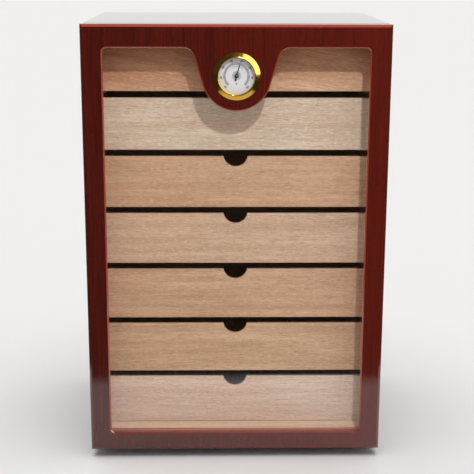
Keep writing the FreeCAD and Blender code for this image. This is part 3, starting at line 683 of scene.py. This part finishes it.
# The drawers: Spanish cedar, planed and sanded but not finished, so that it can take up
# water. Each front is cut from its own board, so no two have the same colour or figure.
def cedar(name, along, pale, deep, start=(0, 0, 0), slant=0.0, ends=None, painted_shade_heights=None):
    material = finish_of(name)
    tree = material.node_tree
    # Growth bands of 10 mm and lines of 1.5 mm. The pores and ray flecks are really 0.3 mm
    # wide and are drawn at 1.2 and 1.4 mm, so that they show.
    bands = streaks(tree, along, 10, 300, 2.0, 26, start, slant)
    lines = streaks(tree, along, 1.5, 24, 3.0, 10, start, slant)
    pores = streaks(tree, along, 1.2, 7, 2.0, 6, start, slant)
    rays = streaks(tree, along, 1.4, 5, 1.0, 0, (start[1], start[2], start[0]), slant)
    tint = streaks(tree, along, 50, 110, 1.0, 0, start, slant)
    band = add(tree, "MapRange", {"Value": bands, "From Min": 0.3, "From Max": 0.7})
    line = add(
        tree, "MapRange", {"Value": lines, "From Min": 0.42, "From Max": 0.7, "To Max": 0.7}
    )
    pore = add(
        tree, "MapRange", {"Value": pores, "From Min": 0.54, "From Max": 0.7, "To Max": 0.5}
    )
    ray = add(
        tree, "MapRange", {"Value": rays, "From Min": 0.55, "From Max": 0.7, "To Max": 0.5}
    )
    warm = add(
        tree, "MapRange", {"Value": tint, "From Min": 0.35, "From Max": 0.65, "To Max": 0.3}
    )
    wood = add(
        tree,
        "Mix",
        {"Factor": band, "A_Color": colour(pale), "B_Color": colour(deep)},
        data_type="RGBA",
    )
    darker = [c * 0.8 for c in colour(deep)[:3]] + [1]
    paler = [min(1.0, c * 1.12) for c in colour(pale)[:3]] + [1]
    pored = [c * 0.55 for c in colour(deep)[:3]] + [1]
    for share, tone in ((line, darker), (warm, colour("#CFA183")), (ray, paler), (pore, pored)):
        wood = add(
            tree,
            "Mix",
            {"Factor": share, "A_Color": wood, "B_Color": tone},
            data_type="RGBA",
        )
    if ends:
        # The board's tone changes from its left end to its right end
        board_end = 0.16
        split = add(tree, "SeparateXYZ", {"Vector": add(tree, "TexCoord").outputs["Object"]})
        across = add(
            tree,
            "MapRange",
            {"Value": split.outputs["X"], "From Min": -board_end, "From Max": board_end},
        )
        tone = add(
            tree,
            "Mix",
            {"Factor": across, "A_Color": [*ends[0], 1], "B_Color": [*ends[1], 1]},
            data_type="RGBA",
        )
        wood = add(
            tree,
            "Mix",
            {"Factor": 1.0, "A_Color": wood, "B_Color": tone},
            data_type="RGBA",
            blend_type="MULTIPLY",
        )
    if painted_shade_heights:
        # Between these two heights the board is painted darker and browner towards its top:
        # painted shade, which deepens the door frame's shadow on it
        painted_shade_tint = [0.7, 0.5, 0.38, 1]
        painted_shade_rise = add(
            tree,
            "MapRange",
            {"Value": split.outputs["Z"], "From Min": painted_shade_heights[0], "From Max": painted_shade_heights[1]},
        )
        wood = add(
            tree,
            "Mix",
            {"Factor": painted_shade_rise, "A_Color": wood, "B_Color": painted_shade_tint},
            data_type="RGBA",
            blend_type="MULTIPLY",
        )
    fibres = add(
        tree,
        "Math",
        {"Value": lines, "Value_001": pores},
        operation="SUBTRACT",
    )
    nap = add(tree, "Bump", {"Height": fibres, "Strength": 0.25, "Distance": 0.0004})
    sanded = add(
        tree,
        "BsdfPrincipled",
        {"Base Color": wood, "Roughness": 0.68, "Specular IOR Level": 0.35, "Normal": nap},
    )
    add(tree, "OutputMaterial", {"Surface": sanded})
    return material


cedar_across = cedar("cedar_across", 0, "#D3AD8C", "#B48A68", (11, 2, 6))
cedar_backward = cedar("cedar_backward", 1, "#D3AD8C", "#B48A68", (5, 8, 2))
cedar_upright = cedar("cedar_upright", 2, "#D3AD8C", "#B48A68", (1, 12, 9))
cedar_floor = cedar("cedar_floor", 0, "#E4C6AE", "#CDAC94", (8, 3, 14))
boards = {
    1: ("#E2C7B6", "#C8A693"),
    2: ("#DAB496", "#BD9475"),
    3: ("#DBB195", "#BD9173"),
    4: ("#DDBBA2", "#C49E82"),
    5: ("#D8AE90", "#BB906F"),
    6: ("#E4CEBC", "#CBB098"),
    7: ("#DFB18F", "#C28D6B"),
}
even_ends = ((0.98, 0.97, 0.955), (1.015, 1.025, 1.045))
top_board_ends = ((0.93, 0.87, 0.83), (1.1, 1.16, 1.2))
top_board_slant = 7
# The top board's upper part is painted darker and browner: painted shade
top_board_painted_shade = (0.458, 0.5)
for number, (pale, deep) in boards.items():
    drawer = f"drawer_{number}"
    shift = (number * 3.7, number * 5.1, number * 2.3)
    top = number == len(boards)
    lean, ends = (top_board_slant, top_board_ends) if top else (0, even_ends)
    board_painted_shade = top_board_painted_shade if top else None
    fit(
        f"{drawer}_face_board",
        eased(f"{drawer}_front", 0.0005),
        cedar(f"cedar_board_{number}", 0, pale, deep, shift, lean, ends, board_painted_shade),
        "cedar",
        drawer,
        f"{drawer}_front",
    )
    for part, wood in (
        ("sides", cedar_backward),
        ("back", cedar_across),
        ("bottom", cedar_backward),
    ):
        fit(
            f"{drawer}_{part}_board",
            eased(f"{drawer}_{part}", 0.0004),
            wood,
            "cedar",
            drawer,
            f"{drawer}_{part}",
        )

# The lining: thin cedar boards glued inside every wall, and strips that carry the drawers.
for wall, wood in (
    ("left", cedar_backward),
    ("right", cedar_backward),
    ("top", cedar_across),
    ("floor", cedar_floor),
    ("back", cedar_upright),
):
    fit(
        f"cedar_lining_{wall}",
        eased(f"lining_{wall}", 0.0003),
        wood,
        "cedar",
        "cabinet",
        f"lining_{wall}",
    )
fit(
    "runner_strips",
    eased("drawer_runners", 0.0005),
    cedar_backward,
    "cedar",
    "cabinet",
    "drawer_runners",
)


# The hinges: two small butt hinges at the left, stamped from brass sheet, rolled round a
# steel pin and polished. Each leaf is held by three countersunk screws with cross recesses.
def polished(name, pale, deep, smooth, rough, grain):
    """Polished metal, with faint clouds where the air and fingers have dulled it."""
    material = finish_of(name)
    tree = material.node_tree
    clouds = streaks(tree, 1, 4, 4, 3.0)
    lines = streaks(tree, 1, grain, grain * 12, 2.0)
    metal = add(
        tree,
        "Mix",
        {"Factor": clouds, "A_Color": colour(deep), "B_Color": colour(pale)},
        data_type="RGBA",
    )
    dulled = add(tree, "MapRange", {"Value": clouds, "To Min": smooth, "To Max": rough})
    brushed = add(tree, "Bump", {"Height": lines, "Strength": 0.06, "Distance": 0.0001})
    surface = add(
        tree,
        "BsdfPrincipled",
        {"Base Color": metal, "Metallic": 1.0, "Roughness": dulled, "Normal": brushed},
    )
    add(tree, "OutputMaterial", {"Surface": surface})
    return material


polished_brass = polished("polished_brass", "#E0B552", "#CFA03C", 0.1, 0.22, 0.6)
drawn_steel = polished("drawn_steel", "#B9BBBD", "#96989A", 0.2, 0.4, 0.3)
for body, node, name in (
    ("cabinet", "hinge_case_leaves", "case_hinge_leaves"),
    ("door", "hinge_door_leaves", "door_hinge_leaves"),
):
    fit(name, eased(node, 0.0002), polished_brass, "polished_brass", body, node)
fit(
    "hinge_pin_rods",
    eased("hinge_pins", 0.0002),
    drawn_steel,
    "steel",
    "cabinet",
    "hinge_pins",
)


def cut(shape, tool):
    """The shape, less the room that the tool takes."""
    pair = []
    for form in (shape, tool):
        mesh = bpy.data.meshes.new("form")
        form.to_mesh(mesh)
        form.free()
        pair.append(bpy.data.objects.new("form", mesh))
        scene.collection.objects.link(pair[-1])
    step = pair[0].modifiers.new("cut", "BOOLEAN")
    step.operation = "DIFFERENCE"
    step.solver = "EXACT"
    step.object = pair[1]
    ready = pair[0].evaluated_get(bpy.context.evaluated_depsgraph_get())
    mesh = bpy.data.meshes.new_from_object(ready)
    result = bmesh.new()
    result.from_mesh(mesh)
    bpy.data.meshes.remove(mesh)
    for thing in pair:
        bpy.data.objects.remove(thing)
    return result


screw_section = (
    (0.0, 0.0), (1.7, 0.0), (1.8, -0.1), (0.9, -0.9), (0.9, -7.6), (0.5, -8.6), (0.0, -9.0),
)
recess_arms = ((2.2, 0.5, 1.0), (0.5, 2.2, 1.0))
screw_heights = (78.33, 95.0, 111.67, 428.33, 445.0, 461.67)
screw_across = -171.6
turn_of_each = 0.7
for body, node, face, toward in (
    ("cabinet", "hinge_case_screws", -120.9, 1),
    ("door", "hinge_door_screws", -121.1, -1),
):
    screws = []
    for number, height in enumerate(screw_heights):
        screw = turned(screw_section, (0, 0, 0), (0, 0, 1), 32)
        for arm in recess_arms:
            tool = bmesh.new()
            size = Matrix.Diagonal((*(side / 1000 for side in arm), 1))
            bmesh.ops.create_cube(tool, size=1, matrix=size)
            screw = cut(screw, tool)
        spot = Matrix.Translation(Vector((screw_across, face, height)) / 1000)
        facing = Matrix.Rotation(toward * math.pi / 2, 4, "X")
        screw.transform(spot @ facing @ Matrix.Rotation(number * turn_of_each, 4, "Z"))
        screws.append(screw)
    fit(node + "_crosshead", together(screws), polished_brass, "polished_brass", body, node)

# The catch: two nickel-plated magnets set in the front of the case at the right, and two
# steel discs screwed to the back of the door that they pull on.
nickel_plate = polished("nickel_plate", "#CFCBC3", "#B3AFA8", 0.12, 0.28, 0.4)
magnet_section = (
    (0.0, 0.0), (2.3, 0.0), (2.4, -0.3), (2.65, -0.3), (2.75, 0.0), (3.3, 0.0), (3.5, -0.2),
    (3.5, -5.8), (3.3, -6.0), (0.0, -6.0),
)
strike_section = (
    (0.0, -0.35), (0.9, -0.35), (1.5, 0.0), (4.2, 0.0), (4.5, -0.25), (4.5, -1.0), (0.0, -1.0),
)
catch_across, catch_heights = 0.172, (0.12, 0.42)
for name, section, node, body, finish, slot, toward in (
    ("cup_magnets", magnet_section, "catch_magnets", "cabinet", nickel_plate, "nickel", -1),
    ("strike_discs", strike_section, "strike_plates", "door", drawn_steel, "steel", 1),
):
    low_corner, high_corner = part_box(node)
    face = low_corner[1] if toward < 0 else high_corner[1]
    discs = [
        turned(section, (catch_across, face, height), (0, toward, 0), 48)
        for height in catch_heights
    ]
    fit(name, together(discs), finish, slot, body, node)

# The hygrometer's bezel: spun and polished brass, lacquered. It slopes from its thin rim
# up to a crown round the lens. Its case is a pressed brass cup with six vents at the back.
gauge_centre = Vector((0, -0.14, 0.4715))
bezel_section = (
    (24.05, -4.0), (24.05, 0.0), (27.5, 0.0), (27.5, 0.9), (27.25, 1.2), (26.9, 1.42),
    (26.5, 1.66), (22.7, 3.96), (22.3, 4.2), (21.9, 4.37), (21.5, 4.35), (21.2, 4.1),
    (20.5, 2.0), (20.5, 0.8), (23.35, 0.8), (23.35, -4.0),
)
fit(
    "bezel",
    turned(bezel_section, gauge_centre, (0, -1, 0), 128),
    polished_brass,
    "polished_brass",
    "door",
    "hygrometer_bezel",
)
fit(
    "gauge_cup",
    eased("hygrometer_case", 0.0003),
    polished_brass,
    "polished_brass",
    "door",
    "hygrometer_case",
)
fit(
    "spring_housing",
    eased("hygrometer_movement", 0.0004),
    drawn_steel,
    "steel",
    "door",
    "hygrometer_movement",
)

# The dial: a pressed aluminium disc in satin silver-white paint, printed in black and grey
# with a scale from 20 to 90 over three quarters of a turn, and a ring of rays at its hub.
silver_paint = finish_of("satin_silver_paint")
tree = silver_paint.node_tree
flakes = streaks(tree, 1, 0.5, 0.5, 2.0)
clouds = streaks(tree, 1, 6, 6, 2.0)
paint = add(
    tree,
    "Mix",
    {"Factor": flakes, "A_Color": colour("#E3DFE4"), "B_Color": colour("#F1EEF2")},
    data_type="RGBA",
)
sheen = add(tree, "MapRange", {"Value": clouds, "To Min": 0.3, "To Max": 0.5})
satin = add(
    tree,
    "BsdfPrincipled",
    {"Base Color": paint, "Roughness": sheen, "Metallic": 0.15, "Specular IOR Level": 0.4},
)
add(tree, "OutputMaterial", {"Surface": satin})
nodes["hygrometer_dial"].material_slots[0].material = silver_paint


def ink(name, deep, pale):
    """Screen-printed ink: matt, and very slightly uneven in its depth."""
    material = finish_of(name)
    tree = material.node_tree
    depth = streaks(tree, 1, 0.4, 0.4, 3.0)
    tone = add(
        tree,
        "Mix",
        {"Factor": depth, "A_Color": colour(deep), "B_Color": colour(pale)},
        data_type="RGBA",
    )
    bump = add(tree, "Bump", {"Height": depth, "Strength": 0.1, "Distance": 0.00005})
    surface = add(tree, "BsdfPrincipled", {"Base Color": tone, "Roughness": 0.55, "Normal": bump})
    add(tree, "OutputMaterial", {"Surface": surface})
    return material


ink_depth = 0.03
dial_set_back = 0.004
dial_face = gauge_centre + Vector((0, dial_set_back, 0))


def clock(angle):
    """Turns the plane of a shape drawn flat, up to the dial, and round by a clockwise angle."""
    upright = Matrix.Rotation(math.pi / 2, 4, "X")
    return Matrix.Translation(dial_face) @ upright @ Matrix.Rotation(-math.radians(angle), 4, "Z")


def printed_bar(inner, outer, width, angle):
    """A printed line from one radius to another, at a clockwise angle from upright."""
    bar = bmesh.new()
    size = Matrix.Diagonal((width / 1000, (outer - inner) / 1000, ink_depth / 1000, 1))
    middle = Matrix.Translation((0, (inner + outer) / 2000, ink_depth / 2000))
    bmesh.ops.create_cube(bar, size=1, matrix=middle @ size)
    bar.transform(clock(angle))
    return bar


def printed_arc(inner, outer, start, end, steps):
    """A printed band between two radii and two clockwise angles."""
    band = bmesh.new()
    section = ((inner, 0.0), (outer, 0.0), (outer, ink_depth), (inner, ink_depth))
    corners = [band.verts.new((0, radius / 1000, lift / 1000)) for radius, lift in section]
    edges = [band.edges.new(pair) for pair in zip(corners, corners[1:] + corners[:1])]
    whole = end - start >= 360
    bmesh.ops.spin(
        band,
        geom=corners + edges,
        cent=(0, 0, 0),
        axis=(0, 0, -1),
        angle=math.radians(end - start),
        steps=steps,
        use_merge=whole,
    )
    bmesh.ops.holes_fill(band, edges=band.edges, sides=4)
    bmesh.ops.recalc_face_normals(band, faces=band.faces)
    band.transform(clock(start))
    return band


def printed_word(text, tall, radius, angle):
    """A printed number, its middle at a radius and a clockwise angle from upright."""
    figure_share, bolder = 0.7, 0.09
    curve = bpy.data.curves.new("word", "FONT")
    curve.body = text
    curve.size = tall / 1000 / figure_share
    curve.extrude = ink_depth / 2000
    curve.offset = bolder / 1000
    curve.align_x = "CENTER"
    curve.align_y = "CENTER"
    curve.resolution_u = 4
    word = bpy.data.objects.new("word", curve)
    scene.collection.objects.link(word)
    mesh = bpy.data.meshes.new_from_object(
        word.evaluated_get(bpy.context.evaluated_depsgraph_get())
    )
    bpy.data.objects.remove(word)
    shape = bmesh.new()
    shape.from_mesh(mesh)
    bpy.data.meshes.remove(mesh)
    bmesh.ops.remove_doubles(shape, verts=shape.verts, dist=1e-7)
    shape.transform(clock(angle) @ Matrix.Translation((0, radius / 1000, ink_depth / 2000)))
    return shape


scale_start, scale_end = -135.0, 135.0
lowest, highest = 20, 90
step = (scale_end - scale_start) / (highest - lowest)
rays = 16
black = [printed_bar(2.7, 5.5, 0.6, 360 / rays * ray) for ray in range(rays)]
black.append(printed_word("%", 2.0, -9.1, 0))
grey = [
    printed_arc(12.7, 13.3, scale_start, scale_end, 96),
    printed_arc(14.4, 15.0, scale_start, scale_end, 96),
    printed_arc(10.7, 11.2, -30, 40, 32),
]
for unit in range(lowest, highest + 1):
    angle = scale_start + (unit - lowest) * step
    if unit % 10:
        grey.append(printed_bar(13.2, 14.5, 0.42, angle))
    else:
        black.append(printed_word(str(unit), 2.3, 17.8, angle))
        black.append(printed_bar(12.6, 15.6, 0.5, angle))
black_ink = ink("black_ink", "#252427", "#3A383B")
grey_ink = ink("grey_ink", "#6C686E", "#7E7A80")
fit("dial_numbers", together(black), black_ink, "dial_paint", "door")
fit("dial_scale", together(grey), grey_ink, "dial_paint", "door")

# The needle: a tapered blade stamped from thin steel and painted matt black, with a round
# tail and a domed hub on a fine shaft that runs back into the movement.
needle_paint = ink("matt_black_paint", "#0E0D0E", "#1C1B1C")
needle_lean = 15.6
blade_lift, blade_thickness = 0.0006, 0.0003
blade_half = (
    (0.0, 15.7), (0.3, 14.8), (0.4, 12.2), (0.85, 11.2), (0.45, 10.0), (0.6, 5.0), (0.8, 2.0),
    (0.5, -2.8), (0.6, -3.8), (1.05, -4.6), (1.05, -5.4), (0.6, -6.0), (0.0, -6.2),
)
blade = bmesh.new()
left_half = [(-x, y) for x, y in reversed(blade_half[1:-1])]
corners = [
    blade.verts.new((x / 1000, y / 1000, blade_lift)) for x, y in (*blade_half, *left_half)
]
face = blade.faces.new(corners)
sheet = bmesh.ops.extrude_face_region(blade, geom=[face])
lifted = [thing for thing in sheet["geom"] if isinstance(thing, bmesh.types.BMVert)]
bmesh.ops.translate(blade, verts=lifted, vec=(0, 0, blade_thickness))
bmesh.ops.recalc_face_normals(blade, faces=blade.faces)
bmesh.ops.bevel(
    blade,
    geom=[edge for edge in blade.edges if edge.calc_face_angle() > math.radians(60)],
    offset=0.00005,
    segments=2,
    profile=0.5,
    affect="EDGES",
    clamp_overlap=True,
    material=-1,
)
blade.transform(clock(needle_lean))
hub_section = (
    (0.0, 1.5), (0.8, 1.5), (1.6, 1.38), (2.15, 1.15), (2.4, 0.85), (2.4, 0.6), (0.6, 0.55),
    (0.6, -5.6), (0.0, -5.6),
)
hub = turned(hub_section, dial_face, (0, -1, 0), 48)
fit(
    "needle_blade",
    together([blade, hub]),
    needle_paint,
    "black_paint",
    "needle",
    "hygrometer_needle",
)
pin_section = ((0.0, 1.75), (0.35, 1.74), (0.7, 1.62), (0.8, 1.45), (0.0, 1.4))
fit(
    "needle_pin",
    turned(pin_section, dial_face, (0, -1, 0), 32),
    drawn_steel,
    "steel",
    "needle",
)

# The humidifier at the back of the top drawer: a tray and a slotted cover moulded in black
# ABS, lightly textured by the mould, round a block of foam that holds water.
moulded_abs = finish_of("moulded_black_abs")
tree = moulded_abs.node_tree
# The spark-eroded texture is near 0.1 mm, drawn here at 0.7 mm so that it shows
texture = streaks(tree, 2, 0.7, 0.7, 2.0)
handled = streaks(tree, 0, 14, 30, 3.0)
tone = add(
    tree,
    "Mix",
    {"Factor": handled, "A_Color": colour("#121213"), "B_Color": colour("#1E1E1F")},
    data_type="RGBA",
)
dull = add(tree, "MapRange", {"Value": handled, "To Min": 0.38, "To Max": 0.6})
grain = add(tree, "Bump", {"Height": texture, "Strength": 0.25, "Distance": 0.0002})
plastic = add(
    tree,
    "BsdfPrincipled",
    {"Base Color": tone, "Roughness": dull, "IOR": 1.54, "Normal": grain},
)
add(tree, "OutputMaterial", {"Surface": plastic})
for part in ("tray", "cover"):
    fit(
        f"moulded_{part}",
        eased(f"humidifier_{part}", 0.0005),
        moulded_abs,
        "black_plastic",
        "drawer_7",
        f"humidifier_{part}",
    )

water_foam = finish_of("open_cell_foam")
tree = water_foam.node_tree
place = add(tree, "TexCoord").outputs["Object"]
# The foam's cells are near 0.3 mm, drawn here at 1.1 mm so that they show
cells_per_metre = 900.0
cells = add(tree, "TexVoronoi", {"Vector": place, "Scale": cells_per_metre})
# The hollows of the cells are painted darker: painted shade in the pits, which the bump also
# sinks
cell_pits_and_shade = add(tree, "MapRange", {"Value": cells, "From Min": 0.1, "From Max": 0.6})
foam_tone = add(
    tree,
    "Mix",
    {"Factor": cell_pits_and_shade, "A_Color": colour("#2C3B2A"), "B_Color": colour("#5A6E50")},
    data_type="RGBA",
)
pits = add(tree, "Bump", {"Height": cell_pits_and_shade, "Strength": 0.6, "Distance": 0.0006})
foam = add(
    tree,
    "BsdfPrincipled",
    {"Base Color": foam_tone, "Roughness": 0.95, "Specular IOR Level": 0.1, "Normal": pits},
)
add(tree, "OutputMaterial", {"Surface": foam})
fit(
    "foam_block",
    eased("humidifier_foam", 0.001),
    water_foam,
    "foam",
    "drawer_7",
    "humidifier_foam",
)
